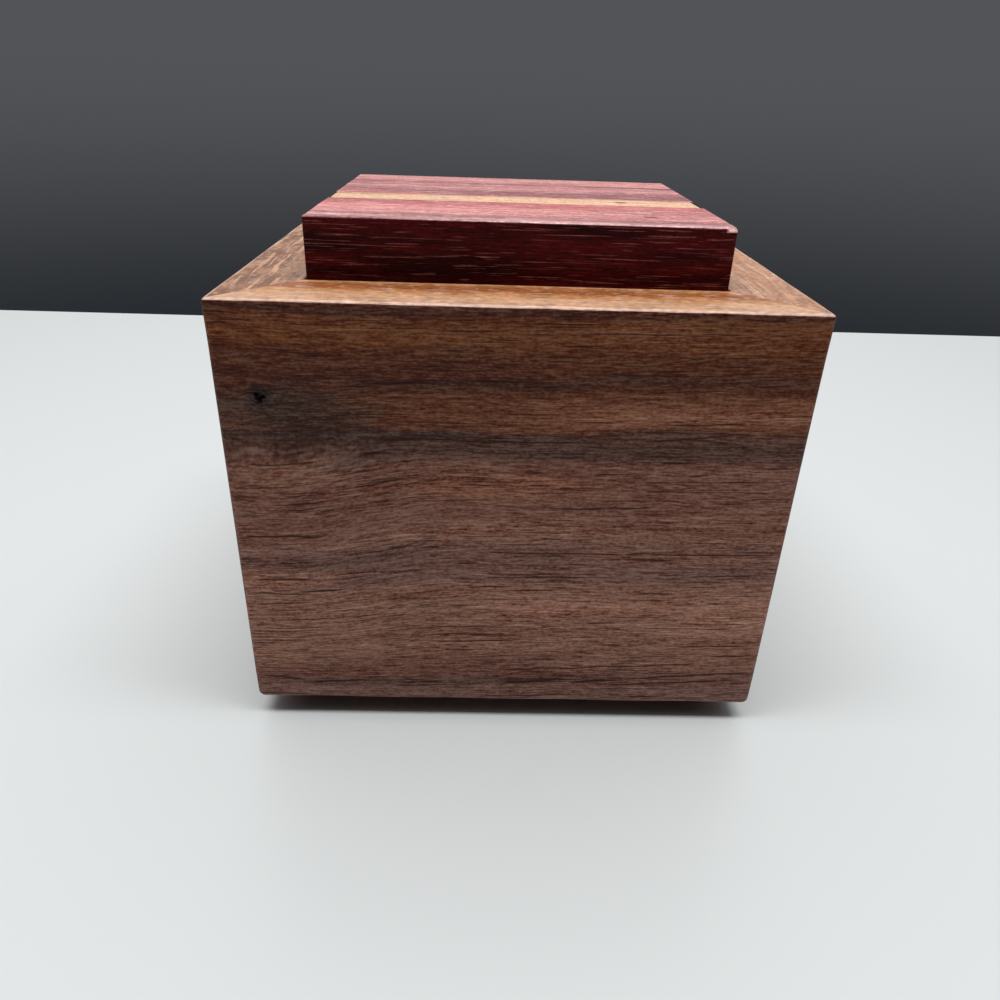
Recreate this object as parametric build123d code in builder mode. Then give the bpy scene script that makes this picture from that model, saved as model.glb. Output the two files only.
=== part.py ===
"""Small walnut box with mitred corners and a laminated lid that lifts off.

Millimetres. The origin is on the surface that the box stands on, under its centre.
+Z is up, +X is the viewer's right and -Y is the front.
"""

import os

from build123d import *

# Boards of the body
body_width = 127.0  # outside, left to right
body_depth = 124.0  # outside, front to back
body_height = 102.5  # of the boards alone
side_board = 16.6  # thickness of the left and right boards
face_board = 18.9  # thickness of the front and back boards
corner_arris = 1.6  # round on the upright outer corners
rim_arris = 1.0
lower_arris = 1.5
mouth_arris = 0.5  # light round on the inner edge of the rim

# Bottom panel, floating in a groove
panel_thickness = 6.0
panel_rise = 6.0  # from the lower edge of the boards to the panel
panel_tongue = 5.0  # how far the panel reaches into the boards
groove_slack = 0.4  # room past the tongue for the panel to swell

# Lining, whose upper edge carries the lid
lining_thickness = 5.0
lid_seat = 5.8  # from the rim down to the upper edge of the lining

# Lid, glued up from strips that run left to right
lid_thickness = 19.0
lid_clearance = 0.4  # between the lid and the mouth, on each side
lid_arris = 0.4
stripe_width = 11.2  # of the pale strip
stripe_ahead = 7.0  # centre of the pale strip, ahead of the lid's centre
seam_behind = 26.5  # last glue line, behind the lid's centre
stripe_short_left = 0.5  # how far the pale strip stops short of its neighbours
stripe_short_right = 0.9
chip_length = 2.3  # chip knocked off the lid's front right corner
chip_drop = 0.7
chip_reach = 1.3

# Feet
foot_height = 5.0
foot_diameter = 12.0  # where a foot meets the wood
sole_diameter = 10.0  # where it meets the floor
sole_bevel = 0.5
foot_inset = 13.0  # centre of a foot, from the two faces nearest to it

# Sizes that follow
mouth_width = body_width - 2 * side_board
mouth_depth = body_depth - 2 * face_board
rim = foot_height + body_height
panel_bottom = foot_height + panel_rise
panel_top = panel_bottom + panel_thickness
lid_bottom = rim - lid_seat
cavity_width = mouth_width - 2 * lining_thickness
cavity_depth = mouth_depth - 2 * lining_thickness
lid_width = mouth_width - 2 * lid_clearance
lid_depth = mouth_depth - 2 * lid_clearance
lid_top = lid_bottom + lid_thickness
lid_front = -lid_depth / 2
lid_back = lid_depth / 2
stripe_front = -stripe_ahead - stripe_width / 2
stripe_back = stripe_front + stripe_width

os.makedirs("parts", exist_ok=True)


def finish(builder, name):
    """Label a finished piece and write it to its file."""
    builder.part.label = name
    export_step(builder.part, f"parts/{name}.step")


def mitred_outlines(outer_width, outer_depth, inner_width, inner_depth):
    """Plan of each of four boards round a rectangle, mitred from corner to corner."""
    ox, oy = outer_width / 2, outer_depth / 2
    ix, iy = inner_width / 2, inner_depth / 2
    return {
        "front": [(-ox, -oy), (ox, -oy), (ix, -iy), (-ix, -iy)],
        "right": [(ox, -oy), (ox, oy), (ix, iy), (ix, -iy)],
        "back": [(ox, oy), (-ox, oy), (-ix, iy), (ix, iy)],
        "left": [(-ox, oy), (-ox, -oy), (-ix, -iy), (-ix, iy)],
    }


# Body as it is glued up and sanded, before it is told apart into its boards
with BuildPart() as carcase:
    with BuildSketch(Plane.XY.offset(foot_height)):
        Rectangle(body_width, body_depth)
    extrude(amount=body_height)
    fillet(carcase.edges().filter_by(Axis.Z), corner_arris)
    fillet(carcase.faces().sort_by(Axis.Z)[-1].edges(), rim_arris)
    fillet(carcase.faces().sort_by(Axis.Z)[0].edges(), lower_arris)
    # The mouth runs from top to bottom, between the boards
    with BuildSketch(Plane.XY.offset(foot_height)):
        Rectangle(mouth_width, mouth_depth)
    extrude(amount=body_height, mode=Mode.SUBTRACT)
    # Groove for the bottom panel
    groove_reach = 2 * (panel_tongue + groove_slack)
    with BuildSketch(Plane.XY.offset(panel_bottom)):
        Rectangle(mouth_width + groove_reach, mouth_depth + groove_reach)
    extrude(amount=panel_thickness, mode=Mode.SUBTRACT)

# The four boards of the body
board_outlines = mitred_outlines(body_width, body_depth, mouth_width, mouth_depth)
for side, outline in board_outlines.items():
    with BuildPart() as board:
        add(carcase.part)
        with BuildSketch(Plane.XY.offset(foot_height)):
            with BuildLine():
                Polyline(*outline, close=True)
            make_face()
        extrude(amount=body_height, mode=Mode.INTERSECT)
        rim_face = board.faces().sort_by(Axis.Z)[-1]
        mouth_edge = rim_face.edges().sort_by_distance((0, 0, rim))[0]
        fillet(mouth_edge, mouth_arris)
    finish(board, f"{side}_board")

# Bottom panel
with BuildPart() as bottom_panel:
    with BuildSketch(Plane.XY.offset(panel_bottom)):
        Rectangle(mouth_width + 2 * panel_tongue, mouth_depth + 2 * panel_tongue)
    extrude(amount=panel_thickness)
finish(bottom_panel, "bottom_panel")

# Lining boards, standing on the panel inside the boards of the body
lining_outlines = mitred_outlines(mouth_width, mouth_depth, cavity_width, cavity_depth)
for side, outline in lining_outlines.items():
    with BuildPart() as lining:
        with BuildSketch(Plane.XY.offset(panel_top)):
            with BuildLine():
                Polyline(*outline, close=True)
            make_face()
        extrude(amount=lid_bottom - panel_top)
    finish(lining, f"{side}_lining")


def make_lid_strip(front, back, short_left=0.0, short_right=0.0):
    """One strip of the lid, between two depths, with the edges that stay open eased."""
    left = -lid_width / 2 + short_left
    right = lid_width / 2 - short_right
    with BuildPart() as strip:
        with BuildSketch(Plane.XY.offset(lid_bottom)):
            with Locations(((left + right) / 2, (front + back) / 2)):
                Rectangle(right - left, back - front)
        extrude(amount=lid_thickness)
        eased = strip.edges().filter_by(Axis.Y)
        if front == lid_front:
            eased += strip.faces().sort_by(Axis.Y)[0].edges()
        if back == lid_back:
            eased += strip.faces().sort_by(Axis.Y)[-1].edges()
        fillet(eased, lid_arris)
    return strip


# Front strip of the lid, with the chip at its front right corner
with BuildPart() as lid_front_strip:
    add(make_lid_strip(lid_front, stripe_front).part)
    with BuildSketch(Plane.YZ.offset(lid_width / 2 - chip_length)):
        with BuildLine():
            Polyline(
                (lid_front, lid_top - chip_drop),
                (lid_front, lid_top),
                (lid_front + chip_reach, lid_top),
                close=True,
            )
        make_face()
    extrude(amount=chip_length, mode=Mode.SUBTRACT)
finish(lid_front_strip, "lid_front_strip")

# Pale strip, whose ends stop short of its neighbours
lid_pale_strip = make_lid_strip(stripe_front, stripe_back, stripe_short_left, stripe_short_right)
finish(lid_pale_strip, "lid_pale_strip")

# The two strips behind it, on each side of the last glue line
lid_middle_strip = make_lid_strip(stripe_back, seam_behind)
finish(lid_middle_strip, "lid_middle_strip")

lid_back_strip = make_lid_strip(seam_behind, lid_back)
finish(lid_back_strip, "lid_back_strip")

# Rubber feet under the corners, each narrowing towards the floor
foot_x = body_width / 2 - foot_inset
foot_y = body_depth / 2 - foot_inset
foot_places = {
    "front_left": (-foot_x, -foot_y),
    "front_right": (foot_x, -foot_y),
    "back_left": (-foot_x, foot_y),
    "back_right": (foot_x, foot_y),
}
for corner, (x, y) in foot_places.items():
    with BuildPart() as foot:
        with BuildSketch(Plane((x, y, 0), x_dir=(1, 0, 0), z_dir=(0, -1, 0))):
            with BuildLine():
                Polyline(
                    (0, 0),
                    (sole_diameter / 2, 0),
                    (sole_diameter / 2 + sole_bevel, sole_bevel),
                    (foot_diameter / 2, foot_height),
                    (0, foot_height),
                    close=True,
                )
            make_face()
        revolve(axis=Axis((x, y, 0), (0, 0, 1)))
    finish(foot, f"foot_{corner}")

print(f"cavity {cavity_width:.1f} x {cavity_depth:.1f} x {lid_bottom - panel_top:.1f} mm")
print(f"lid {lid_width:.1f} x {lid_depth:.1f} x {lid_thickness:.1f} mm")
print(f"overall height {lid_top:.1f} mm")
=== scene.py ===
# %% [markdown]
# # A walnut box with a laminated lid
#
# This lesson dresses a small handmade box. Four boards of dark walnut are mitred at the corners,
# and a lid of purpleheart with one pale strip drops into the mouth and lifts straight off. The
# measured model already has every piece at its true size. What it lacks is what a hand feels and
# an eye sees: edges eased with sandpaper, a pin knot, the flow of the grain and the open pores.
# One could sculpt each board or lay pictures on it. Here every shape is a short formula on a grid
# and every wood is a recipe of noise, so each number can be read and changed.

from collections import namedtuple
from math import radians

import bpy
import numpy as np
from mathutils import Euler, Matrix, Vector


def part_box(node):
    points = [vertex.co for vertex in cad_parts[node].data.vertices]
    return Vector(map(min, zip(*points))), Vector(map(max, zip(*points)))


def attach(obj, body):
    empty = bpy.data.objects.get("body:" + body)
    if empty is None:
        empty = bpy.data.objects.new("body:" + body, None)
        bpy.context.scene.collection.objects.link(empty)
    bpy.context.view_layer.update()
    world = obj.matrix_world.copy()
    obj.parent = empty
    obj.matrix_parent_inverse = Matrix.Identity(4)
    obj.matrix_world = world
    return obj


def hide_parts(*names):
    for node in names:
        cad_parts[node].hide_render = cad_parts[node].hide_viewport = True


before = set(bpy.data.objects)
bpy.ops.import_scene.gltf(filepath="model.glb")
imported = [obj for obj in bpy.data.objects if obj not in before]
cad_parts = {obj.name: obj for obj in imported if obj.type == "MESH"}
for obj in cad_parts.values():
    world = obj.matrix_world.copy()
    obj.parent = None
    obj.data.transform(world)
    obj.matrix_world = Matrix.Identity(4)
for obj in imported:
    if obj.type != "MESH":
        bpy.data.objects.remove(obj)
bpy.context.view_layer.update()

# %% [markdown]
# ## Sizes
#
# A maker works in millimetres, and Blender in metres. The sizes are read from the boxes of the
# measured pieces, so the finished pieces follow them. The body is centred on the origin, and the
# floor is at height 0.

# %% Read the sizes of the body
MM = 0.001


def corners_of(node):
    """Lowest and highest corner of a measured piece, in millimetres."""
    low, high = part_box(node)
    return np.array(low) / MM, np.array(high) / MM


front_low, front_high = corners_of("front_board")
right_low, right_high = corners_of("right_board")
half_width = right_high[0]
half_depth = -front_low[1]
foot_height = front_low[2]
rim = front_high[2]
face_board = front_high[1] - front_low[1]
side_board = right_high[0] - right_low[0]
mouth_half_width = half_width - side_board
mouth_half_depth = half_depth - face_board
print("body", 2 * half_width, "x", 2 * half_depth, "mm, rim at", rim)

# %% Read the sizes of what lies inside
panel_low, panel_high = corners_of("bottom_panel")
panel_tongue = panel_high[0] - mouth_half_width
lining_low, lining_high = corners_of("left_lining")
lining_thickness = lining_high[0] - lining_low[0]
lid_low, lid_high = corners_of("lid_front_strip")
lid_back = corners_of("lid_back_strip")[1][1]
lid_front = lid_low[1]
lid_half_width = lid_high[0]
lid_bottom, lid_top = lid_low[2], lid_high[2]
stripe_low, stripe_high = corners_of("lid_pale_strip")
seam = corners_of("lid_middle_strip")[1][1]
print("lid", 2 * lid_half_width, "x", lid_back - lid_front, "mm, top at", lid_top)

# %% [markdown]
# ## Rulings
#
# A board is flat almost everywhere, but its edges are round over one or two millimetres. So a
# grid of even squares would waste points on the flats. Each grid is ruled with lines that stand
# close together near an edge or a knot, and far apart between.

# %% Rule lines that crowd where the shape turns
def ruled(low, high, step, *crowds):
    """Places from low to high, a step apart, and closer in each crowd.

    A crowd is (centre, reach, fine step). Places that fall outside are dropped, and so is one
    that lies almost on its neighbour.
    """
    rows = [np.linspace(low, high, max(2, round((high - low) / step) + 1))]
    for centre, reach, fine in crowds:
        rows.append(np.arange(centre - reach, centre + reach + fine / 2, fine))
    places = np.unique(np.concatenate(rows).round(3))
    places = places[(places > low + 0.04) & (places < high - 0.04)]
    apart = np.append(True, np.diff(places) > 0.04)
    return np.concatenate([[low], places[apart], [high]])


edge_reach, edge_step = 2.4, 0.3  # of the lines that crowd at an edge of the body
print("lines up a board", len(ruled(foot_height, rim, 1.6, (rim, edge_reach, edge_step))))


# %% Turn grids of numbers into faces
def cells(grid):
    """Four corners for every cell of a grid, turning from its first direction to its second."""
    corners = [grid[:-1, :-1], grid[1:, :-1], grid[1:, 1:], grid[:-1, 1:]]
    return np.stack(corners, axis=-1).reshape(-1, 4)


crease = radians(38)  # faces that turn by more than this meet in a crisp edge


def make_piece(name, points, faces, body, node, slot):
    """Makes a smooth mesh from points in millimetres, in place of a measured node."""
    mesh = bpy.data.meshes.new(name)
    mesh.from_pydata((points * MM).tolist(), [], faces)
    mesh.polygons.foreach_set("use_smooth", np.ones(len(mesh.polygons), dtype=bool))
    mesh.set_sharp_from_angle(angle=crease)
    piece = bpy.data.objects.new(name, mesh)
    bpy.context.scene.collection.objects.link(piece)
    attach(piece, body)
    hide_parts(node)
    print(name, len(points), "points", len(faces), "faces")
    return piece


# %% [markdown]
# ## Easing the edges
#
# The maker glues the body up and then rounds its outer edges by hand, so one rounding runs over
# all four boards. The formula finds the nearest point of a core, which is the block shrunk by the
# radius. What sticks out of the core is a step of some length, and it is shortened to its largest
# part. On a flat face nothing changes, along an edge the points fall on a quarter circle, and at
# a corner they fall on a ball. The radius grows from the crisp rim to the lower corners, and it
# wanders a little, as sandpaper in a hand does.

# %% Round a block by hand
def eased(points, low, high, radius):
    """Points moved onto a block with rounded edges: core + step * (largest part / length)."""
    radius = np.reshape(radius, (-1, 1))
    core = np.clip(points, low + radius, high - radius)
    step = points - core
    length = np.linalg.norm(step, axis=1, keepdims=True)
    largest = np.abs(step).max(axis=1, keepdims=True)
    share = np.divide(largest, length, out=np.ones_like(length), where=length > 0)
    return core + step * share


rim_radius, upper_radius, upright_radius, lower_radius = 0.8, 1.25, 1.5, 1.9
# Nicks in the front rim: place along it, reach, added radius
front_nicks = [(-12.7, 0.9, 0.5), (16.6, 0.7, 0.6), (26.0, 4.5, 0.3), (-41.0, 1.1, 0.35)]


def sanded_radius(points):
    """Radius of the body's edges: by height, with a slow wander and a few nicks at the rim."""
    x, y, z = points.T
    heights = [foot_height, foot_height + 7, rim - 9, rim]
    radius = np.interp(z, heights, [lower_radius, upright_radius, upper_radius, rim_radius])
    radius = radius * (1 + 0.10 * np.sin(0.21 * x + 1.3) * np.cos(0.17 * y + 0.05 * z))
    at_front_rim = np.clip(1 - (rim - z) / 3, 0, 1) * (y < -half_depth + 3)
    for centre, reach, added in front_nicks:
        radius = radius + added * at_front_rim * np.exp(-(((x - centre) / reach) ** 2))
    return radius


# %% [markdown]
# ## Boards
#
# A mitred board is a section carried along its length, whose ends are cut slanting so that the
# outer face is longer than the inner one. The section goes up the outer face, in over the rim,
# down the inner face with its groove for the bottom panel, and out along the lower edge. Carrying
# it is the same as a grid with two parameters, the place round the section and the place along
# the board. The ends are planes that nobody sees, so each is closed by one face.

# %% Draw the section of a board
mouth_radius = 0.5
groove_slack = 0.4


def board_section(thickness, knots=()):
    """Depths from the outer face and heights, all round the section of a body board."""
    up = ruled(
        foot_height, rim, 1.6,
        (foot_height, 3.0, edge_step), (rim, edge_reach, edge_step), *knots
    )
    over = ruled(0, thickness, 1.2, (0, edge_reach, edge_step), (thickness, 0.6, 0.1))
    down = ruled(panel_high[2], rim, 5, (rim, 0.6, 0.1))[::-1]
    groove = panel_tongue + groove_slack
    notch = [(thickness - groove, panel_high[2]), (thickness - groove, panel_low[2])]
    notch += [(thickness, panel_low[2]), (thickness, foot_height)]
    under = ruled(0, thickness, 1.5, (0, 3.0, edge_step))[::-1]
    depths = np.concatenate([0 * up, over[1:], thickness + 0 * down[1:], np.array(notch)[:, 0],
                             under[1:-1]])
    heights = np.concatenate([up, rim + 0 * over[1:], down[1:], np.array(notch)[:, 1],
                              foot_height + 0 * under[1:-1]])
    return depths, heights


def round_inner_edge(depths, heights, thickness, top, radius):
    """Rounds the upper inner edge of a section, with the formula of the eased edges in a plane."""
    out = np.clip(depths - (thickness - radius), 0, None)
    up = np.clip(heights - (top - radius), 0, None)
    both = (out > 0) & (up > 0)
    share = np.where(both, np.maximum(out, up) / np.maximum(np.hypot(out, up), 1e-9), 1)
    return depths - out * (1 - share), heights - up * (1 - share)


# %% Carry a section along a mitred board
def mitred_board(depths, heights, lengths, outer, half_length, slant, turns):
    """Points and faces of a board whose ends are mitred.

    Points: at a depth d, a place along the board is scaled by (half length - slant * d) over
    the half length. The outer face lies `outer` from the centre, and the board is then turned
    about the upright axis by quarter turns.
    """
    depth, length = np.meshgrid(depths, lengths, indexing="ij")
    height = np.meshgrid(heights, lengths, indexing="ij")[0]
    along = length * (half_length - slant * depth) / half_length
    x, y = along, depth - outer
    for _ in range(turns):
        x, y = -y, x
    points = np.stack([x, y, height], axis=-1).reshape(-1, 3)
    number = np.arange(depth.size).reshape(depth.shape)
    faces = cells(np.vstack([number, number[:1]]).T).tolist()
    faces += [number[:, 0].tolist(), number[::-1, -1].tolist()]
    return points, faces


def four_sides(half_x, half_y, side_thickness, face_thickness):
    """Places of four mitred boards round a block.

    Each has its outer face's distance from the centre, its half length, its thickness, that
    of its neighbours, and its quarter turns.
    """
    face = (half_y, half_x, face_thickness, side_thickness)
    flank = (half_x, half_y, side_thickness, face_thickness)
    return {"front": (*face, 0), "right": (*flank, 1), "back": (*face, 2), "left": (*flank, 3)}


# %% [markdown]
# ## The pin knot
#
# High on the left of the front board is a pin knot, a small dead branch that has left a ragged
# hole. It is a real hollow, so it is pressed into the mesh and not only painted. The hollow is a
# bell curve of the distance from its centre, and the distance is made ragged by adding a few
# waves that turn with the angle.

# %% Press the knot into the front board
knot_x, knot_drop = -54.1, 20.4
knot_z = rim - knot_drop
knot_reach, knot_depth = 0.85, 1.2


def knot_hollow(x, z):
    """Depth of the hollow: knot depth * exp(-(distance / ragged reach) to the fourth)."""
    dx, dz = x - knot_x, z - knot_z
    angle = np.arctan2(dz, dx)
    ragged = 1 + 0.22 * np.sin(3 * angle + 0.6) + 0.14 * np.sin(5 * angle + 2.0)
    return knot_depth * np.exp(-((np.hypot(dx * 0.95, dz * 0.8) / (knot_reach * ragged)) ** 4))


body_low = np.array([-half_width, -half_depth, foot_height])
body_high = np.array([half_width, half_depth, rim])
left_to_right = ("front", "back")  # the sides whose boards, and grain, run left to right
sides = four_sides(half_width, half_depth, side_board, face_board)
boards = {}
for side, (outer, half_length, thickness, neighbour, turns) in sides.items():
    ends = [(-half_length, edge_reach, edge_step), (half_length, edge_reach, edge_step)]
    knots_along = [(knot_x, 2.6, 0.16)] if side == "front" else []
    knots_up = [(knot_z, 2.8, 0.16)] if side == "front" else []
    depths, heights = board_section(thickness, knots_up)
    depths, heights = round_inner_edge(depths, heights, thickness, rim, mouth_radius)
    lengths = ruled(-half_length, half_length, 1.8, *ends, *knots_along)
    points, faces = mitred_board(
        depths, heights, lengths, outer, half_length, neighbour / thickness, turns
    )
    points = eased(points, body_low, body_high, sanded_radius(points))
    if side == "front":
        on_face = points[:, 1] < -half_depth + 0.5
        points[:, 1] += on_face * knot_hollow(points[:, 0], points[:, 2])
    boards[side] = make_piece(
        f"walnut_{side}", points, faces, "box", f"{side}_board", "walnut"
    )

# %% [markdown]
# ## Lining
#
# Thin boards stand inside the body, and the lid rests on their upper edges. They are mitred as
# the body is, so the same grid makes them, with a plain section whose upper inner edge is eased.

# %% Line the inside
lining_radius = 0.35
lining_sides = four_sides(mouth_half_width, mouth_half_depth, lining_thickness, lining_thickness)
up = ruled(panel_high[2], lid_bottom, 8)
over = ruled(0, lining_thickness, 1.5, (lining_thickness, 0.5, 0.08))
down = ruled(panel_high[2], lid_bottom, 8, (lid_bottom, 0.5, 0.08))[::-1]
depths = np.concatenate([0 * up, over[1:], lining_thickness + 0 * down[1:]])
heights = np.concatenate([up, lid_bottom + 0 * over[1:], down[1:]])
depths, heights = round_inner_edge(depths, heights, lining_thickness, lid_bottom, lining_radius)
linings = {}
for side, (outer, half_length, thickness, neighbour, turns) in lining_sides.items():
    lengths = ruled(-half_length, half_length, 6)
    points, faces = mitred_board(
        depths, heights, lengths, outer, half_length, neighbour / thickness, turns
    )
    linings[side] = make_piece(
        f"lining_{side}", points, faces, "box", f"{side}_lining", "walnut_lining"
    )

# %% [markdown]
# ## Lid
#
# The lid is four strips glued side by side. Each strip is a block ruled in three directions. Its
# six sides are grids that share the numbers of the points along their common edges, so the skin
# is closed without any welding. Each strip is eased as a slice of one rounded block, so the
# rounding runs on from strip to strip. Only the pale strip is a slice of a shorter block, because
# its ends stop short of its neighbours. The front right corner has lost a chip: there the top is
# lowered to a slanting plane with a rough, torn surface.

# %% Rule the skin of a block
def block(xs, ys, zs):
    """Points and faces of the closed skin of a block with rulings xs, ys and zs."""
    shape = (len(xs), len(ys), len(zs))
    number = np.arange(np.prod(shape)).reshape(shape)
    skins = [
        number[-1], number[0].T,
        number[:, -1].T, number[:, 0],
        number[:, :, -1], number[:, :, 0].T,
    ]
    used, faces = np.unique(np.concatenate([cells(s) for s in skins]), return_inverse=True)
    i, j, k = np.unravel_index(used, shape)
    return np.stack([xs[i], ys[j], zs[k]], axis=-1), faces.reshape(-1, 4).tolist()


chip_length, chip_drop, chip_reach = 2.3, 0.88, 1.6


def chipped(points):
    """Lowers the top near the front right corner to a slanting, rough plane."""
    x, y, z = points.T
    inward = np.clip((x - (lid_half_width - chip_length)) / 0.5, 0, 1)
    slope = np.clip(1 - (y - lid_front) / chip_reach, 0, 1)
    rough = 0.07 * np.sin(9 * x + 4 * y) * np.sin(11 * y - 3 * x + 1)
    ceiling = lid_top - inward * (chip_drop * slope + rough * (slope > 0))
    return np.stack([x, y, np.minimum(z, ceiling)], axis=-1)


# %% Glue up the lid
lid_radius = 0.4


def lid_edge_radius(points):
    """Radius of the lid's edges, which wanders a little along them."""
    x, y, z = points.T
    return lid_radius * (1 + 0.25 * np.sin(0.33 * x + 0.4) * np.cos(0.29 * y + 0.8))


near_edge = (0.8, 0.1)  # reach and step of the rulings near an edge of the lid
strips = {}
# Front, back, left and right end of each strip
strip_places = {
    "front": (lid_front, stripe_low[1], -lid_half_width, lid_half_width),
    "pale": (stripe_low[1], stripe_high[1], stripe_low[0], stripe_high[0]),
    "middle": (stripe_high[1], seam, -lid_half_width, lid_half_width),
    "back": (seam, lid_back, -lid_half_width, lid_half_width),
}
for strip, (front, back, left, right) in strip_places.items():
    chip_crowd = [(lid_half_width - 1.5, 1.5, 0.12)] if strip == "front" else []
    xs = ruled(left, right, 2.0, (left, *near_edge), (right, *near_edge), *chip_crowd)
    ys = ruled(front, back, 1.5, (lid_front, chip_reach, 0.1), (lid_back, *near_edge))
    zs = ruled(lid_bottom, lid_top, 2.0, (lid_bottom, *near_edge), (lid_top, 0.9, 0.1))
    points, faces = block(xs, ys, zs)
    low, high = np.array([left, lid_front, lid_bottom]), np.array([right, lid_back, lid_top])
    points = eased(points, low, high, lid_edge_radius(points))
    if strip == "front":
        points = chipped(points)
    strips[strip] = make_piece(
        f"strip_{strip}", points, faces, "lid", f"lid_{strip}_strip",
        "pale_wood" if strip == "pale" else "purpleheart",
    )

# %% [markdown]
# ## Feet
#
# Four rubber feet lift the box off the table. A foot is a profile turned about an upright axis:
# the angle is one parameter and the place along the profile is the other. The moulded edges are
# round, and the sole is hollowed a little so that the foot grips by its rim.

# %% Turn the feet
foot_segments = 64
# Radius and height, up the profile
foot_profile = np.array([
    (3.2, 0.35), (3.6, 0.12), (4.1, 0.0), (4.9, 0.0), (5.2, 0.06), (5.42, 0.24), (5.5, 0.5),
    (5.68, 2.2), (5.84, 3.9), (5.92, 4.6), (5.9, 5.0),
])
foot_inset = 13.0
angle = np.linspace(0, 2 * np.pi, foot_segments, endpoint=False)
radius, turn = np.meshgrid(foot_profile[:, 0], angle, indexing="ij")
height = np.meshgrid(foot_profile[:, 1], angle, indexing="ij")[0]
number = np.arange(radius.size).reshape(radius.shape)
faces = cells(np.hstack([number, number[:, :1]]).T).tolist()
faces += [number[0, ::-1].tolist(), number[-1].tolist()]
feet = []
for corner, sx, sy in [
    ("front_left", -1, -1), ("front_right", 1, -1), ("back_left", -1, 1), ("back_right", 1, 1)
]:
    x = sx * (half_width - foot_inset) + radius * np.cos(turn)
    y = sy * (half_depth - foot_inset) + radius * np.sin(turn)
    points = np.stack([x, y, height], axis=-1).reshape(-1, 3)
    feet.append(make_piece(
        f"rubber_{corner}", points, faces, "box", f"foot_{corner}", "black_rubber"
    ))

# %% [markdown]
# ## Writing shader maths
#
# A wood recipe has a hundred small sums. Drawn by hand they would be a web of nodes, so a small
# class wraps one output of a node and turns +, -, * and / into nodes of their own. Any other node
# comes from its one method: the kind of node, its settings, and what goes into its sockets.

# %% Wrap a socket
class Wire:
    """One output of a node, which can be used in arithmetic."""

    def __init__(self, tree, socket):
        self.tree = tree
        self.socket = socket

    def node(self, kind, settings, inputs, output=0):
        """Adds a node, sets its settings first, then fills its sockets with numbers or wires."""
        made = self.tree.nodes.new(kind)
        for name, value in settings.items():
            setattr(made, name, value)
        for name, value in inputs.items():
            if isinstance(value, Wire):
                self.tree.links.new(value.socket, made.inputs[name])
            else:
                made.inputs[name].default_value = value
        return Wire(self.tree, made.outputs[output])

    def sum(self, operation, *values):
        """A Math node on wires and numbers."""
        return self.node("ShaderNodeMath", {"operation": operation}, dict(enumerate(values)))

    def __add__(self, other):
        return self.sum("ADD", self, other)

    def __sub__(self, other):
        return self.sum("SUBTRACT", self, other)

    def __mul__(self, other):
        return self.sum("MULTIPLY", self, other)

    def __truediv__(self, other):
        return self.sum("DIVIDE", self, other)

    def __rsub__(self, other):
        return self.sum("SUBTRACT", other, self)

    def __abs__(self):
        return self.sum("ABSOLUTE", self)

    __radd__, __rmul__ = __add__, __mul__


# %% Name the few tools that every wood needs
def colour(red, green, blue):
    """A colour written from 0 to 255, as a screen shows it, turned into light."""
    shown = np.array([red, green, blue]) / 255
    light = np.where(shown < 0.04045, shown / 12.92, ((shown + 0.055) / 1.055) ** 2.4)
    return (*light.tolist(), 1.0)


def rise(value, start, end):
    """0 up to start, 1 past end, and a smooth curve between."""
    return value.node(
        "ShaderNodeMapRange", {"interpolation_type": "SMOOTHSTEP"},
        {"Value": value, "From Min": start, "From Max": end},
    )


def blend(share, first, second):
    """First colour where share is 0, second where it is 1."""
    return share.node(
        "ShaderNodeMix", {"data_type": "RGBA", "clamp_factor": True},
        {0: share, 6: first, 7: second}, 2,
    )


def vectors(wire, operation, inputs, output=0):
    """Vector maths, for colours and places, in the node tree of a wire."""
    return wire.node("ShaderNodeVectorMath", {"operation": operation}, inputs, output)


def lit(paint, factor):
    """A colour made lighter or darker by a factor."""
    return vectors(factor, "SCALE", {0: paint, "Scale": factor})


def fibre(place, length, width, seed, detail=2.0):
    """Noise drawn out along the grain: about `length` by `width` millimetres."""
    stretched = vectors(place, "MULTIPLY_ADD", {
        0: place, 1: (1 / length, 1 / width, 1 / width), 2: (seed, 1.7 * seed, 2.3 * seed)
    })
    return place.node(
        "ShaderNodeTexNoise", {}, {"Vector": stretched, "Scale": 1.0, "Detail": detail}
    )


# %% [markdown]
# ## Where the grain runs
#
# Wood is a solid pattern: what shows on a face is a cut through it. So each board reads its own
# place in space, as millimetres along the grain, across the face and into the thickness. The
# grain of the front and back runs left to right, and that of the sides front to back.

# %% Start a material with the place in the wood
def start_wood(name, order):
    """A new material, and wires for the place along, across and deep in millimetres.

    `order` names the axes that run along, across and deep, such as "XZY".
    """
    material = bpy.data.materials.new(name)
    material.use_nodes = True
    tree = material.node_tree
    place = Wire(tree, tree.nodes.new("ShaderNodeTexCoord").outputs["Object"])
    place = vectors(place, "SCALE", {0: place, "Scale": 1 / MM})
    split = place.node("ShaderNodeSeparateXYZ", {}, {0: place}).socket.node
    axes = {letter: Wire(tree, split.outputs[letter]) for letter in "XYZ"}
    return material, [axes[letter] for letter in order]


def join(along, across, deep):
    """Three wires as one vector."""
    return along.node("ShaderNodeCombineXYZ", {}, {0: along, 1: across, 2: deep})


def distance(along, across):
    """Length of a step along and across the grain."""
    step = join(along, across, 0.0)
    return vectors(step, "LENGTH", {0: step}, 1)


pore_depth = 0.05  # millimetres down to the floor of a pore


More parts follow.
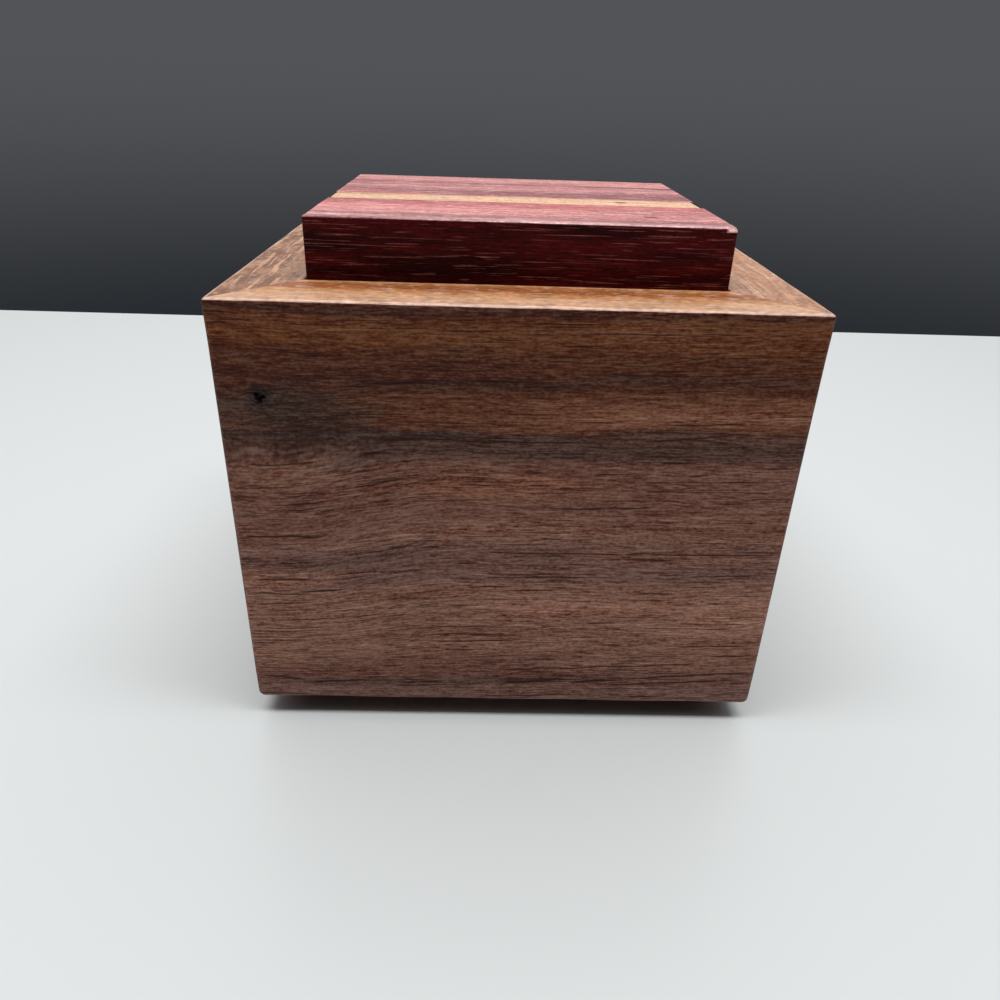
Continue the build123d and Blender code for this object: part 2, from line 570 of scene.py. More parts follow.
def finish_wood(material, paint, roughness, relief, gloss=0.22):
    """Feeds the shader of a wood with an oiled, rubbed finish; relief goes from 0 down to -1."""
    shader = material.node_tree.nodes["Principled BSDF"]
    bump = relief.node("ShaderNodeBump", {}, {"Distance": pore_depth * MM, "Height": relief})
    links = material.node_tree.links
    links.new(paint.socket, shader.inputs["Base Color"])
    links.new(roughness.socket, shader.inputs["Roughness"])
    links.new(bump.socket, shader.inputs["Normal"])
    shader.inputs["Specular IOR Level"].default_value = gloss
    return material


# %% [markdown]
# ## Walnut
#
# Walnut heartwood is a dull brown with smoky bands, and a golden cast where the sapwood was
# near. Its pores are fine dark dashes along the grain. The recipe first bends the grain and frays
# it, so that every edge in the wood breaks up into fibres. A ramp across the grain then gives the
# broad bands, and local streaks are laid over it. Fibres shade the whole, and pores are cut last.
# A thin grey sheen is painted on the pale fibres, as a highlight where they stand proud, and the
# shade swings further in green and blue than in red, so the pale fibres look greyer while the dark
# ones stay warm.

# %% Name the browns
russet = colour(84, 43, 26)
honey = colour(116, 64, 30)
chestnut = colour(91, 46, 24)
ginger = colour(118, 71, 46)
copper = colour(138, 87, 60)
toffee = colour(152, 99, 74)
smoke = colour(60, 38, 31)
peat = colour(88, 58, 47)
bark = colour(108, 75, 63)
umber = colour(130, 87, 71)
dusk = colour(129, 91, 79)
sand = colour(150, 106, 87)
fawn = colour(171, 122, 100)
pore_brown = colour(52, 20, 10)
soot = colour(30, 24, 20)
pitch = colour(8, 10, 8)
glint_green = colour(58, 78, 66)
sheen_grey = colour(156, 140, 135)
print("umber as light", [round(v, 3) for v in umber[:3]])

# %% Lay bands and streaks along the grain
Grain = namedtuple("Grain", "place along across")


def lay_grain(along, across, deep, seed):
    """The place in the wood, and the same place frayed by fibres, for the edges of bands."""
    place = join(along, across, deep)
    wave = fibre(place, 55, 9, seed + 51) - 0.5
    fray = fibre(place, 17, 0.9, seed + 52) - 0.5
    return Grain(place, along + 60 * fray, across + 5 * wave + 3.2 * fray)


def bands(place, stops):
    """A ramp of colours by a place in millimetres; each stop is (place, colour), in order."""
    reach = stops[-1][0] - stops[0][0]
    ramp = place.node("ShaderNodeValToRGB", {}, {0: (place - stops[0][0]) / reach})
    scale = ramp.socket.node.color_ramp
    scale.interpolation = "EASE"
    for _ in stops[2:]:
        scale.elements.new(1.0)
    for element, (where, tint) in zip(scale.elements, stops):
        element.position = (where - stops[0][0]) / reach
        element.color = tint
    return ramp


def streak(grain, centre, reach, start, end, soft=6.0):
    """A soft streak: 1 near `centre`, 0 past `reach`, and only from start to end along it."""
    body = 1 - rise(abs(grain.across - centre), 0.35 * reach, 1.1 * reach)
    ends = rise(grain.along, start - soft, start + soft)
    return body * ends * (1 - rise(grain.along, end - soft, end + soft))


# %% Place the bands of each board
# Bands by millimetres below the rim
walnut_bands = {
    "front": [
        (0.0, russet), (1.5, russet), (3.2, honey), (8.0, honey), (10.4, chestnut),
        (17.4, chestnut), (19.5, ginger), (26.2, ginger), (28.0, peat), (33.0, peat),
        (35.2, umber), (48.0, umber), (52.5, sand), (56.5, dusk), (64.0, dusk), (67.0, sand),
        (85.0, sand), (89.0, umber), (93.4, umber), (95.2, bark), (96.4, bark), (98.6, dusk),
        (102.5, dusk),
    ],
    "right": [
        (0.0, chestnut), (9.0, honey), (18.0, umber), (27.0, peat), (31.0, bark), (42.0, ginger),
        (55.0, umber), (63.0, dusk), (70.0, peat), (75.0, sand), (90.0, umber), (102.5, dusk),
    ],
    "back": [
        (0.0, chestnut), (12.0, umber), (24.0, honey), (36.0, ginger), (41.0, peat), (47.0, dusk),
        (60.0, sand), (72.0, umber), (80.0, bark), (86.0, peat), (92.0, umber), (102.5, dusk),
    ],
    "left": [
        (0.0, russet), (7.0, honey), (15.0, chestnut), (26.0, ginger), (31.0, peat), (38.0, umber),
        (54.0, dusk), (61.0, umber), (72.0, sand), (84.0, umber), (94.0, bark), (102.5, dusk),
    ],
}
# Streaks over them: tint, drop below the rim, reach, from, to, strength; 80 is past the end
walnut_streaks = {
    "front": [
        (copper, 5.0, 3.4, 20, 37, 0.5), (honey, 11.6, 3.0, 2, 80, 0.45),
        (smoke, 22.5, 6.0, -80, -36, 0.65), (smoke, 15.8, 1.6, -34, 8, 0.55),
        (smoke, 15.0, 1.4, 17, 34, 0.5), (smoke, 16.2, 1.3, 43, 52, 0.5),
        (copper, 23.6, 3.8, 6, 80, 0.75), (fawn, 24.0, 1.4, 20, 60, 0.35),
        (umber, 33.0, 3.4, -80, -46, 0.6), (smoke, 28.8, 1.5, -36, -6, 0.65),
        (umber, 29.0, 2.2, 22, 80, 0.35), (smoke, 26.8, 1.0, 26, 44, 0.5),
        (sand, 34.0, 3.6, -80, -38, 0.75), (toffee, 40.6, 4.4, -22, 16, 0.7),
        (dusk, 47.5, 4.0, -36, -14, 0.4), (sand, 47.5, 3.0, 32, 80, 0.6),
        (dusk, 52.5, 3.2, -80, -30, 0.7), (bark, 57.2, 4.4, -54, -20, 0.7),
        (sand, 58.5, 3.2, 18, 80, 0.5), (fawn, 62.5, 3.6, -80, -47, 0.8),
        (fawn, 72.5, 4.6, -4, 80, 0.7), (fawn, 73.8, 3.4, 0, 22, 0.5),
        (fawn, 79.0, 6.0, 44, 80, 0.7), (umber, 79.0, 3.6, -40, -4, 0.3),
        (sand, 84.0, 3.4, -26, -2, 0.6), (fawn, 86.0, 6.0, -80, -54, 0.4),
        (sand, 84.5, 3.0, 22, 80, 0.5), (sand, 90.5, 3.6, 14, 80, 0.7),
        (umber, 96.0, 3.0, -80, -54, 0.6), (umber, 96.5, 3.4, 16, 80, 0.7),
        (peat, 95.4, 1.4, -6, 24, 0.4),
    ],
    "right": [(smoke, 27.0, 2.0, -40, 70, 0.6), (fawn, 82.0, 4.0, -70, 10, 0.5)],
    "back": [(smoke, 41.0, 2.0, -70, 20, 0.6), (fawn, 60.0, 4.0, -20, 70, 0.5)],
    "left": [(smoke, 31.0, 2.0, -20, 70, 0.6), (fawn, 73.0, 4.0, -70, 20, 0.5)],
}
print("front streaks", len(walnut_streaks["front"]))


def lay_bands(grain, side):
    """The ramp of a board with its streaks, before the fibres and pores."""
    paint = bands(grain.across, walnut_bands[side])
    for tint, centre, reach, start, end, strength in walnut_streaks[side]:
        paint = blend(streak(grain, centre, reach, start, end) * strength, paint, tint)
    return paint


# %% Shade the fibres and cut the pores
def fibres(place, seed):
    """Shade of four sizes of fibre and a fine speckle, about 1."""
    broad = fibre(place, 60, 3.0, seed + 1) - 0.5
    middle = fibre(place, 24, 1.3, seed + 2) - 0.5
    fine = fibre(place, 9, 0.65, seed + 3) - 0.5
    hair = fibre(place, 2.8, 0.42, seed + 4, 3.0) - 0.5
    speck = fibre(place, 0.9, 0.5, seed + 5, 1.0) - 0.5
    return 1 + 0.8 * broad + 0.6 * middle + 0.9 * fine + 2.2 * hair + 1.4 * speck


def pores(place, length, width, seed, cut, soft=0.06):
    """Fine dashes along the grain: 1 inside a pore, 0 between."""
    return rise(fibre(place, length, width, seed, 1.0), cut, cut + soft)


# Long pores and hairline checks of the front board: from x, drop, to x, drop, width
front_checks = [
    (-6, 57.4, 61, 56.7, 0.20), (-2, 92.1, 48, 89.2, 0.22), (25, 96.5, 60, 94.0, 0.26),
    (-2, 96.2, 14, 95.3, 0.50), (16, 95.7, 30, 94.6, 0.42), (30, 94.3, 62, 91.6, 0.26),
    (28, 28.7, 48, 26.5, 0.20), (32, 24.7, 50, 23.9, 0.18), (-31, 29.7, -20, 29.1, 0.36),
    (-62, 95.0, -50, 96.0, 0.34), (-50, 97.0, -34, 95.8, 0.32), (-28, 96.6, -15, 96.2, 0.34),
    (-61, 66.2, -46, 65.8, 0.26), (-63, 54.6, -44, 53.8, 0.30), (-62, 69.8, -48, 70.2, 0.22),
    (-29, 16.8, -17, 16.2, 0.36), (-10, 15.4, 3, 15.8, 0.30), (37, 36.7, 44, 36.3, 0.22),
    (1, 36.4, 8, 36.6, 0.22), (46, 43.5, 51, 43.1, 0.26), (15, 45.2, 32, 44.8, 0.22),
    (-20, 83.5, 2, 82.6, 0.22), (22, 83.9, 33, 83.4, 0.22), (42, 83.8, 60, 83.2, 0.22),
    (16, 77.0, 27, 76.9, 0.22), (-11, 67.2, 0, 66.8, 0.22), (-22, 56.4, -13, 55.7, 0.26),
    (50, 86.8, 62, 86.2, 0.22),
]


def check(along, drop, start, start_drop, end, end_drop, width):
    """A hairline between two places: 1 on the line and 0 past its width."""
    slope = (end_drop - start_drop) / (end - start)
    off = abs(drop - start_drop - (along - start) * slope)
    taper = rise(along, start - 0.5, start + 3) * (1 - rise(along, end - 3, end + 0.5))
    return (1 - rise(off, 0.5 * width, 1.3 * width)) * taper


# %% [markdown]
# ## The rim
#
# The upper edges of the boards were planed and sanded last. They catch the light, and they are
# painted a paler tan than the faces: partly their own sanded colour, partly a painted sheen of the
# light from above. Towards the mouth the front edge turns redder, and a pale highlight is painted
# along its outer arris, in patches, partly wear. The side rims are browner, with long pale fibres,
# and carry less of the painted highlight. A thin dark line marks each mitre.

# %% Paint the rim
# Pale colour of the rim's flecks and fibres, and of the painted highlight on the front arris.
pale_fleck_and_highlight = colour(232, 196, 180)
buff = colour(201, 155, 122)
tan = colour(190, 134, 88)
amber = colour(156, 93, 53)
ash = colour(128, 88, 66)
fallow = colour(170, 122, 94)
dove = colour(164, 128, 110)
oat = colour(206, 160, 128)
side_rim_grounds = {"left": ash, "right": fallow}


def rim_paint(place, depth, thickness, side, seed):
    """Colours of the rim by the distance from the outer face, with pale fibres and flecks."""
    wander = fibre(place, 26, 5, seed + 41) - 0.5
    frayed = depth + 6 * wander + 5 * (fibre(place, 5, 1.8, seed + 42, 3.0) - 0.5)
    flecks = pores(place, 1.6, 1.3, seed + 44, 0.62)
    if side in left_to_right:
        edge = bands(frayed, [
            (0.0, buff), (5.5, buff), (9.5, tan), (13.0, amber), (thickness - 3.0, amber),
            (thickness - 1.0, tan),
        ])
        lines = pores(place, 5, 1.5, seed + 43, 0.58)
        return blend(lines * 0.24 + flecks * 0.24, edge, pale_fleck_and_highlight)
    blotch = rise(fibre(place, 6, 2.6, seed + 46, 3.0), 0.42, 0.6)
    edge = blend(blotch * 0.42, side_rim_grounds[side], buff)
    lines = pores(place, 20, 1.0, seed + 43, 0.58)
    edge = blend(lines * 0.75, edge, oat)
    inner = rise(frayed, thickness - 7.0, thickness - 2.0)
    edge = blend(inner * 0.5, edge, dove)
    return blend(flecks * 0.28, edge, pale_fleck_and_highlight)


def rim_shade(place, seed):
    """Shade of the rim's short, blurred fibres, about 1."""
    mottle = fibre(place, 1.7, 1.2, seed + 47, 3.0) - 0.5
    lines = fibre(place, 9, 1.6, seed + 48) - 0.5
    return 1 + 1.3 * mottle + 0.7 * lines


def arris_highlight(place, drop, depth, side, seed):
    """Where a pale highlight is painted on the upper outer edge, partly wear: in patches, and less
    on the side boards.
    """
    highlight = rise(drop, 0.45, 0.25) * (1 - rise(depth, 0.7, 1.2))
    highlight = highlight * (0.4 + 0.6 * rise(fibre(place, 9, 0.9, seed + 31), 0.36, 0.52))
    return highlight * (1.0 if side in left_to_right else 0.35)


# %% [markdown]
# ## Painting a board
#
# The grain of a board isn't straight. It dips towards the knot at the left and climbs at the lower
# right, so the place across the grain is bent before anything is painted on it. Round the knot lie
# a dark halo and a smoky plume that drifts along the grain, and a small greenish highlight is
# painted in the hole. The upright corners are painted a little darker, as painted shade on their
# rounding.

# %% Bend the grain and smoke the knot
def bend_grain(along, drop, depth, seed):
    """The grain of a board: it sways, dips at the left and climbs at the lower right."""
    sway = fibre(join(along, drop, depth), 60, 24, seed, 1.0) - 0.5
    dips = rise(drop, 28, 38) * (1 - rise(drop, 80, 96)) * (1 - rise(along, -54, -8))
    climb = along.sum("MAXIMUM", along, 0.0) * (rise(drop, 74, 94) * 0.04 + 0.015)
    across = drop + 3.0 * sway - 5.0 * dips + climb
    return lay_grain(along, across, depth + 3 * sway, seed)


plume_x, plume_drop = knot_x + 10, knot_drop + 3.5
plume_length, plume_height = 17, 7.5
glint_x, glint_drop = knot_x + 0.7, knot_drop - 0.6


def knot_paint(place, along, drop, face):
    """Dark hollow with a painted greenish highlight, a halo and a smoky plume that drifts along
    the grain.
    """
    ripple = (fibre(place, 6, 3, 61.0) - 0.5) * 0.9
    far = distance((along - knot_x) * 1.1, (drop - knot_drop) * 0.95) + ripple
    plume = distance((along - plume_x) / plume_length, (drop - plume_drop) / plume_height)
    wisps = (fibre(place, 14, 1.6, 62.0) - 0.5) * 2.2
    cloud = 1 - rise(plume + wisps, 0.4, 1.2)
    face = blend(cloud * 0.7, face, smoke)
    face = blend((1 - rise(far, 1.6, 3.6)) * 0.85, face, soot)
    face = blend(1 - rise(far, 0.5, 1.0), face, pitch)
    # Painted highlight: a small greenish glint in the hole.
    glint = 1 - rise(distance(along - glint_x, drop - glint_drop), 0.25, 0.6)
    return blend(glint * 0.7, face, glint_green)


# %% Paint the face and keep its dark fibres warm
oil_warmth = (1.05, 1.0, 1.0)
# The face's shade swings greyer on pale fibres, as a painted sheen, and stays warm on dark ones.
face_swing = (0.85, 1.25, 1.38, 1.0)
rim_swing = (1.0, 1.0, 1.0, 1.0)


def face_paint(grain, along, drop, depth, side):
    """Bands and streaks warmed by oil, with the knot and painted shade on the upright corners."""
    face = lay_bands(grain, side)
    if side == "front":
        face = knot_paint(grain.place, along, drop, face)
    face = vectors(face, "MULTIPLY", {0: face, 1: oil_warmth})
    # Painted shade on the rounded upright corners, where they turn from the light.
    corner = rise(depth, 0.15, 0.5)
    return blend(corner * 0.45, face, pore_brown)


def swung(paint, shade, swing):
    """Paint * (1 + swing * (shade - 1)) in each channel, and never below 0."""
    turn = vectors(shade, "SCALE", {0: swing, "Scale": shade - 1})
    turned = vectors(shade, "MULTIPLY_ADD", {0: paint, 1: turn, 2: paint})
    return vectors(shade, "MAXIMUM", {0: turned, 1: (0.0, 0.0, 0.0)})


# %% Gather the pores and checks of a board
def pore_marks(place, along, drop, on_rim, checks, seed):
    """Short and long pores and hairline checks: 1 in the darkest, and fainter on the rim."""
    crowd = rise(fibre(place, 40, 5, seed + 21), 0.35, 0.65)
    short = pores(place, 8, 0.42, seed + 22, 0.615, 0.035) * (0.25 + 0.75 * crowd)
    long = pores(place, 20, 0.44, seed + 23, 0.645, 0.035)
    dark = (short * 0.72 + long * 0.8) * (1 - 0.7 * on_rim)
    hairline = drop + 0.9 * (fibre(place, 7, 40, seed + 26) - 0.5)
    gaps = rise(fibre(place, 5, 1.5, seed + 25), 0.24, 0.42) * 0.9
    for start, start_drop, end, end_drop, width in checks:
        mark = check(along, hairline, start, start_drop, end, end_drop, width)
        dark = dark.sum("MAXIMUM", dark, mark * gaps)
    return dark


# %% Paint walnut onto a board
def walnut(name, side, checks, seed):
    """Walnut of one body board, with its face, its rim and the painted highlight on its upper
    edges.
    """
    outer, half_length, thickness, neighbour, _ = sides[side]
    order = "XZY" if side in left_to_right else "YZX"
    material, (along, height, side_way) = start_wood(name, order)
    drop, depth = rim - height, outer - abs(side_way)
    grain = bend_grain(along, drop, depth, seed)
    place = grain.place
    on_rim = rise(drop, 0.4, 0.2)
    face = face_paint(grain, along, drop, depth, side)
    # The rim is painted paler than the face: its own sanded colour and a painted sheen from above.
    paint = blend(on_rim, face, rim_paint(place, depth, thickness, side, seed))
    # Painted highlight along the upper outer arris, partly wear.
    paint = blend(arris_highlight(place, drop, depth, side, seed), paint, pale_fleck_and_highlight)

    shade = fibres(place, seed)
    shade = shade + on_rim * (rim_shade(place, seed) - shade)
    light = pores(place, 10, 0.5, seed + 24, 0.63, 0.04) * (1 - on_rim)
    swing = blend(on_rim, face_swing, rim_swing)
    # Painted sheen: a thin grey highlight on the pale fibres that stand proud.
    sheen = rise(shade, 0.8, 1.5) * (1 - on_rim)
    paint = blend(sheen * 0.13, swung(paint, shade + 0.55 * light, swing), sheen_grey)

    dark = pore_marks(place, along, drop, on_rim, checks, seed)
    mitre_gap = (half_length - abs(along)) * (thickness / neighbour) - depth
    joint = (1 - rise(abs(mitre_gap), 0.05, 0.3)) * on_rim
    paint = blend(dark, paint, pore_brown)
    paint = blend(joint * 0.55, paint, pore_brown)
    roughness = 0.46 + 0.2 * dark + 0.1 * (shade - 1)
    return finish_wood(material, paint, roughness, 0 - dark, gloss=0.15)


for number, side in enumerate(sides):
    checks = front_checks if side == "front" else []
    wood = walnut(f"walnut_{side}", side, checks, 11.0 + 17.0 * number)
    boards[side].data.materials.append(wood)
    print(wood.name, len(wood.node_tree.nodes), "nodes")

# %% Finish the lining and the panel
def plain_walnut(name, order, seed, light):
    """Plainer, straight-grained walnut for the inside."""
    material, (along, across, deep) = start_wood(name, order)
    sway = fibre(join(along, across, deep), 80, 20, seed, 1.0) - 0.5
    grain = lay_grain(along, across + 4 * sway, deep, seed)
    place = grain.place
    ground = blend(rise(fibre(place, 70, 8, seed), 0.36, 0.64), umber, sand)
    shade = fibres(place, seed) * light
    dark = pores(place, 5, 0.18, seed + 22, 0.61) * 0.6
    paint = blend(dark, lit(ground, shade), pore_brown)
    return finish_wood(material, paint, 0.5 + 0.15 * dark, 0 - dark)


long_lining = plain_walnut("walnut_lining_long", "XZY", 83.0, 1.15)
short_lining = plain_walnut("walnut_lining_short", "YZX", 97.0, 1.15)
for side, piece in linings.items():
    piece.data.materials.append(long_lining if side in left_to_right else short_lining)
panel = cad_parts["bottom_panel"]
panel.data.materials.clear()
panel.data.materials.append(plain_walnut("walnut_panel", "XYZ", 113.0, 1.1))
print("panel has", len(panel.data.materials), "material")

# %% [markdown]
# ## Purpleheart and the pale strip
#
# Purpleheart is a hard wood whose cut faces turn a deep wine red. The lid's top was sanded and is
# painted a bright dusty pink, with fine darker lines, and its sides almost black, with short pale
# dashes where the pores are filled with polishing dust: partly the wood's own tones, partly
# painted light on the top and painted shade on the sides. The chip's torn face, which faces up, is
# painted pale like the lit top, the last glue line is a dark seam, and a short red nick lies in
# the front strip. The pale strip is a creamy hardwood with a few brown flecks. Its colours, as
# those of the reds, follow the place across the lid.

# %% Name the reds
rose = colour(178, 114, 113)
coral = colour(206, 134, 131)
ruby = colour(191, 104, 104)
mauve = colour(163, 104, 106)
plum = colour(148, 84, 88)
blush = colour(236, 186, 182)
lilac = colour(182, 138, 140)
apricot = colour(222, 152, 140)
garnet = colour(112, 58, 62)
wine = colour(90, 14, 18)
crimson = colour(150, 36, 46)
night = colour(36, 2, 4)
dust = colour(154, 94, 92)


# %% Paint the top and the sides of a purpleheart strip
def top_paint(grain, along, across, stops, streaks, nicks, seed):
    """Bands, streaks and nicks of the sanded top, with pale fibres and the dark glue line."""
    place = grain.place
    top = bands(grain.across, stops)
    for tint, centre, reach, start, end, strength in streaks:
        top = blend(streak(grain, centre, reach, start, end) * strength, top, tint)
    for centre, reach, start, end in nicks:
        nick = streak(Grain(place, along, across), centre, reach, start, end, soft=0.6)
        top = blend(nick, top, crimson)
    bright = pores(place, 12, 1.8, seed + 13, 0.58)
    specks = pores(place, 2.4, 1.8, seed + 17, 0.64)
    top = blend(bright * 0.4 + specks * 0.35, top, blush)
    glue = 1 - rise(abs(across - seam), 0.5, 1.6)
    return blend(glue * 0.6, top, garnet)


def side_paint(place, height, seed):
    """Sides painted almost black, partly painted shade that darkens towards the bottom, and the
    pale dashes on them, as a colour and a mask.
    """
    shadow = rise(fibre(place, 50, 5, seed + 2) + 0.013 * (height - lid_bottom), 0.42, 0.78)
    crowd = rise(fibre(place, 26, 3, seed + 15), 0.38, 0.6)
    dashes = pores(place, 9, 0.32, seed + 14, 0.635, 0.035) * (0.3 + 0.7 * crowd)
    dashes = dashes.sum("MAXIMUM", dashes, pores(place, 20, 0.4, seed + 18, 0.66, 0.04))
    return blend(dashes * 0.68, blend(shadow, night, wine), dust), dashes


def chip_mask(along, across, height):
    """1 on the torn face of the chip at the front right corner."""
    beside = rise(along, lid_half_width - chip_length - 0.2, lid_half_width - chip_length + 0.2)
    above = rise(height, lid_top - chip_drop - 0.2, lid_top - chip_drop)
    return above * beside * (1 - rise(across, lid_front + 1.2, lid_front + 1.8))


# %% Paint purpleheart onto a strip
def purpleheart(name, stops, streaks, nicks, seed):
    """Purpleheart of one strip: its top painted bright and, where it is open, its sides painted
    dark, partly as painted light and shade.
    """
    material, (along, across, height) = start_wood(name, "XYZ")
    sway = fibre(join(along, across, height), 60, 14, seed, 1.0) - 0.5
    grain = lay_grain(along, across + 1.2 * sway, height + 1.2 * sway, seed)
    place = grain.place
    top = top_paint(grain, along, across, stops, streaks, nicks, seed)
    side_wall, dashes = side_paint(place, height, seed)
    beside_pale = 1 - rise(abs(across - stripe_high[1]), 0.1, 0.4)
    on_top = rise(height, lid_top - 0.32, lid_top - 0.12)
    # The top is painted bright and the sides dark: the wood's own tones with painted light on the
    # top and painted shade on the sides.
    paint = blend(on_top.sum("MAXIMUM", beside_pale, on_top), side_wall, top)
    # The chip's face is painted as pale as the lit top.
    paint = blend(chip_mask(along, across, height) * 0.8, paint, blush)
    dark = pores(place, 7, 0.3, seed + 16, 0.62)
    paint = blend(dark * 0.35, lit(paint, fibres(place, seed)), wine)
    return finish_wood(material, paint, 0.42 + 0.2 * dark, 0 - dark - 0.6 * dashes, gloss=0.09)


# %% Place the bands of the lid
past_end = lid_half_width + 20  # where a streak stops that runs off the lid
# Bands by millimetres from the lid's centre to the back
lid_bands = {
    "front": [
        # The blush at the front edge is a painted highlight on the arris.
        (lid_front, blush), (lid_front + 0.6, blush), (lid_front + 1.5, lilac),
        (lid_front + 3.2, lilac), (lid_front + 4.6, mauve), (lid_front + 7.0, rose),
        (lid_front + 11.0, coral), (lid_front + 19.0, coral), (lid_front + 22.0, ruby),
        (stripe_low[1], ruby),
    ],
    "middle": [
        (stripe_high[1], plum), (stripe_high[1] + 9.0, plum), (stripe_high[1] + 12.0, mauve),
        (stripe_high[1] + 15.0, mauve), (stripe_high[1] + 18.0, coral), (seam - 7.0, rose),
        (seam - 2.0, rose), (seam, plum),
    ],
    "back": [
        (seam, plum), (seam + 1.6, rose), (seam + 4.0, rose), (seam + 8.0, coral),
        (lid_back - 3.0, coral), (lid_back, rose),
    ],
}
# Streaks over them: tint, centre, reach, from, to, strength
lid_streaks = {
    "front": [
        (plum, lid_front + 4.3, 0.8, 14, past_end, 0.7),
        (blush, lid_front + 4.4, 1.0, -past_end, -28, 0.7),
        (mauve, lid_front + 2.0, 1.4, -past_end, -24, 0.9),
        (plum, lid_front + 0.3, 1.2, -past_end, 0, 0.65),
        (rose, lid_front + 16.0, 3.0, 24, past_end, 0.5),
        (plum, stripe_low[1] - 1.5, 2.6, -past_end, -24, 0.5),
    ],
    "middle": [
        (ruby, stripe_high[1] + 1.8, 2.4, -past_end, -22, 0.8),
        (rose, stripe_high[1] + 7.0, 3.0, -past_end, -26, 0.6),
        (coral, stripe_high[1] + 16.0, 3.0, -14, 12, 0.5),
        (plum, stripe_high[1] + 13.0, 2.6, 22, past_end, 0.5),
        (mauve, seam - 4.0, 1.6, -8, 10, 0.6),
    ],
    "back": [
        (apricot, seam + 3.2, 2.2, 16, past_end, 0.8),
        (mauve, lid_back - 4.0, 2.4, -4, 12, 0.4),
    ],
}
# Nicks: centre, reach, from, to
lid_nicks = {"front": [(lid_front + 12.0, 1.5, 28.3, 31.2)], "middle": [], "back": []}
for number, strip in enumerate(lid_bands):
    strips[strip].data.materials.append(purpleheart(
        f"purpleheart_{strip}", lid_bands[strip], lid_streaks[strip], lid_nicks[strip],
        141.0 + 13.0 * number
    ))

# %% Paint the pale strip
cream = colour(232, 184, 146)
straw = colour(206, 156, 118)
fleck_brown = colour(124, 78, 50)


def pale_wood(name, seed):
    """Creamy hardwood with a straw-coloured edge, a thin line and a few brown flecks."""
    material, (along, across, height) = start_wood(name, "XYZ")
    grain = lay_grain(along, across, height, seed)
    place = grain.place
    ground = blend(rise(grain.across, stripe_high[1] - 3.5, stripe_high[1]), cream, straw)
    ground = blend(rise(fibre(place, 36, 3, seed + 1), 0.45, 0.7) * 0.5, ground, straw)
    line = streak(grain, stripe_high[1] - 2.4, 0.9, -60, -24)
    fleck = streak(Grain(place, along, across), stripe_low[1] + 6.0, 1.6, 25.0, 27.9, soft=0.7)
    ground = blend(line * 0.6, ground, fleck_brown)
    ground = blend(fleck, ground, fleck_brown)
    dark = pores(place, 5, 0.2, seed + 4, 0.64)
    paint = blend(dark * 0.4, lit(ground, fibres(place, seed)), fleck_brown)
    return finish_wood(material, paint, 0.42 + 0.15 * dark, 0 - dark)


strips["pale"].data.materials.append(pale_wood("pale_hardwood", 191.0))
print("lid strips", sorted(strips))

# %% [markdown]
# ## Rubber
#
# The feet are moulded black rubber, matt and very slightly mottled, with dust on the sole.

# %% Mix the rubber
coal = colour(26, 25, 26)
cinder = colour(44, 43, 43)
sole_dust = colour(92, 90, 87)


def rubber(name):
    """Matt black rubber with a fine moulded grain."""
    material, (x, y, z) = start_wood(name, "XYZ")
    grain = fibre(join(x, y, z), 0.5, 0.5, 7.0, 3.0)
    paint = blend(rise(grain, 0.35, 0.7), coal, cinder)
    paint = blend((1 - rise(z, 0.0, 0.4)) * 0.4, paint, sole_dust)
    return finish_wood(material, paint, 0.7 + 0.1 * grain, 0 - grain)


black_rubber = rubber("black_rubber")
for foot in feet:
    foot.data.materials.append(black_rubber)
print("feet", len(feet))

# %% [markdown]
# ## Floor, light and camera
#
# The box stands on a plain pale sheet that ends some way behind it. A wide, soft lamp hangs
# overhead and a little ahead. The sky fills the rest with white light that is brightest above
# and behind the box, as a window behind it would make it, so the top shines and the front stays
# deep. Together they are set so that a colour on the top renders about as it is written. The
# camera sees a plain dark backdrop instead, which is darkest low down.

# %% Lay the floor
floor_back, floor_half, floor_front = 0.32, 1.6, -1.6
floor_mesh = bpy.data.meshes.new("floor")
floor_mesh.from_pydata(
    [(-floor_half, floor_front, 0), (floor_half, floor_front, 0),
     (floor_half, floor_back, 0), (-floor_half, floor_back, 0)], [], [(0, 1, 2, 3)]
)
floor = bpy.data.objects.new("floor", floor_mesh)
bpy.context.scene.collection.objects.link(floor)
floor_material = bpy.data.materials.new("pale_sheet")
floor_material.use_nodes = True
floor_shader = floor_material.node_tree.nodes["Principled BSDF"]
floor_shader.inputs["Base Color"].default_value = colour(213, 217, 217)
floor_shader.inputs["Roughness"].default_value = 0.3
floor.data.materials.append(floor_material)
print("floor ends", floor_back, "m behind the box's centre")

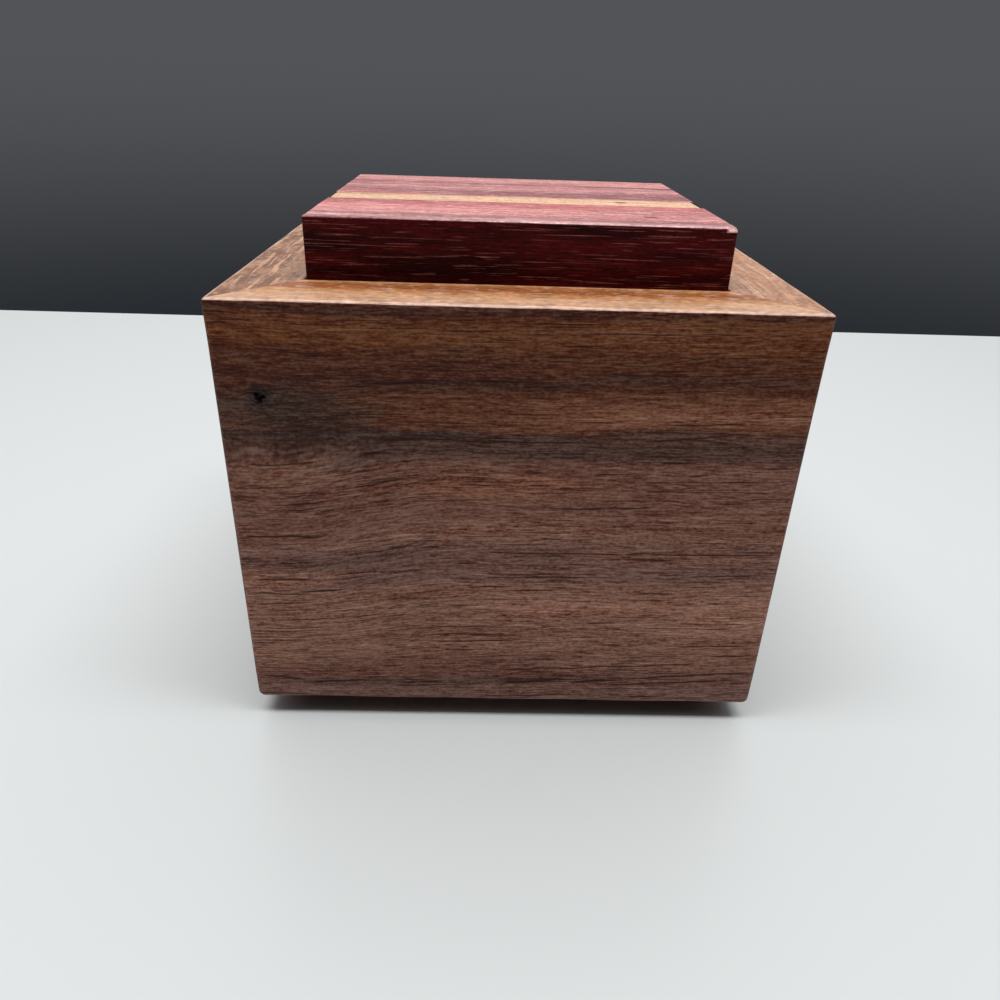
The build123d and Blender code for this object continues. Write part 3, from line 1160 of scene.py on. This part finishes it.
# %% Hang the lamp
lamp_data = bpy.data.lights.new("overhead", "AREA")
lamp_data.shape = "RECTANGLE"
lamp_data.size, lamp_data.size_y = 2.0, 0.4
lamp_data.energy = 23.0
lamp = bpy.data.objects.new("overhead", lamp_data)
lamp.location = (0.0, -0.2, 1.6)
bpy.context.scene.collection.objects.link(lamp)
print("lamp", lamp_data.energy, "W at", lamp.location.z, "m")

# %% Grade the sky
world = bpy.data.worlds.new("sky")
bpy.context.scene.world = world
world.use_nodes = True
tree = world.node_tree
way = Wire(tree, tree.nodes.new("ShaderNodeTexCoord").outputs["Generated"])
back = way.node("ShaderNodeSeparateXYZ", {}, {0: way}, 1)
up = way.node("ShaderNodeSeparateXYZ", {}, {0: way}, 2)
brightness = 0.02 + 0.88 * rise(up + 0.7 * back, 0.35, 1.1)
sky = tree.nodes["Background"]
sky.inputs["Color"].default_value = (1, 1, 1, 1)
tree.links.new(brightness.socket, sky.inputs["Strength"])
slate_low, slate_high = colour(38, 41, 45), colour(82, 84, 87)
slate = blend(rise(up, -0.28, 0.03), slate_low, slate_high)
backdrop = tree.nodes.new("ShaderNodeBackground")
tree.links.new(slate.socket, backdrop.inputs["Color"])
seen = tree.nodes.new("ShaderNodeLightPath")
mixed = tree.nodes.new("ShaderNodeMixShader")
tree.links.new(seen.outputs["Is Camera Ray"], mixed.inputs[0])
tree.links.new(sky.outputs[0], mixed.inputs[1])
tree.links.new(backdrop.outputs[0], mixed.inputs[2])
tree.links.new(mixed.outputs[0], tree.nodes["World Output"].inputs["Surface"])
print("sky", len(tree.nodes), "nodes")

# %% Set the camera
camera_data = bpy.data.cameras.new("camera")
camera_data.lens = 28.38
camera_data.sensor_width = 36.0
camera = bpy.data.objects.new("camera", camera_data)
camera.location = (-0.00716, -0.21815, 0.14660)
looking_down, looking_right, leaning = radians(27.86), radians(1.51), radians(1.93)
turned = Euler((0, 0, -looking_right)).to_matrix()
turned = turned @ Euler((radians(90) - looking_down, 0, 0)).to_matrix()
turned = turned @ Euler((0, 0, leaning)).to_matrix()
camera.rotation_euler = turned.to_euler()
bpy.context.scene.collection.objects.link(camera)
bpy.context.scene.camera = camera
bpy.context.scene.view_settings.view_transform = "Standard"
print("camera lens", camera_data.lens, "mm")
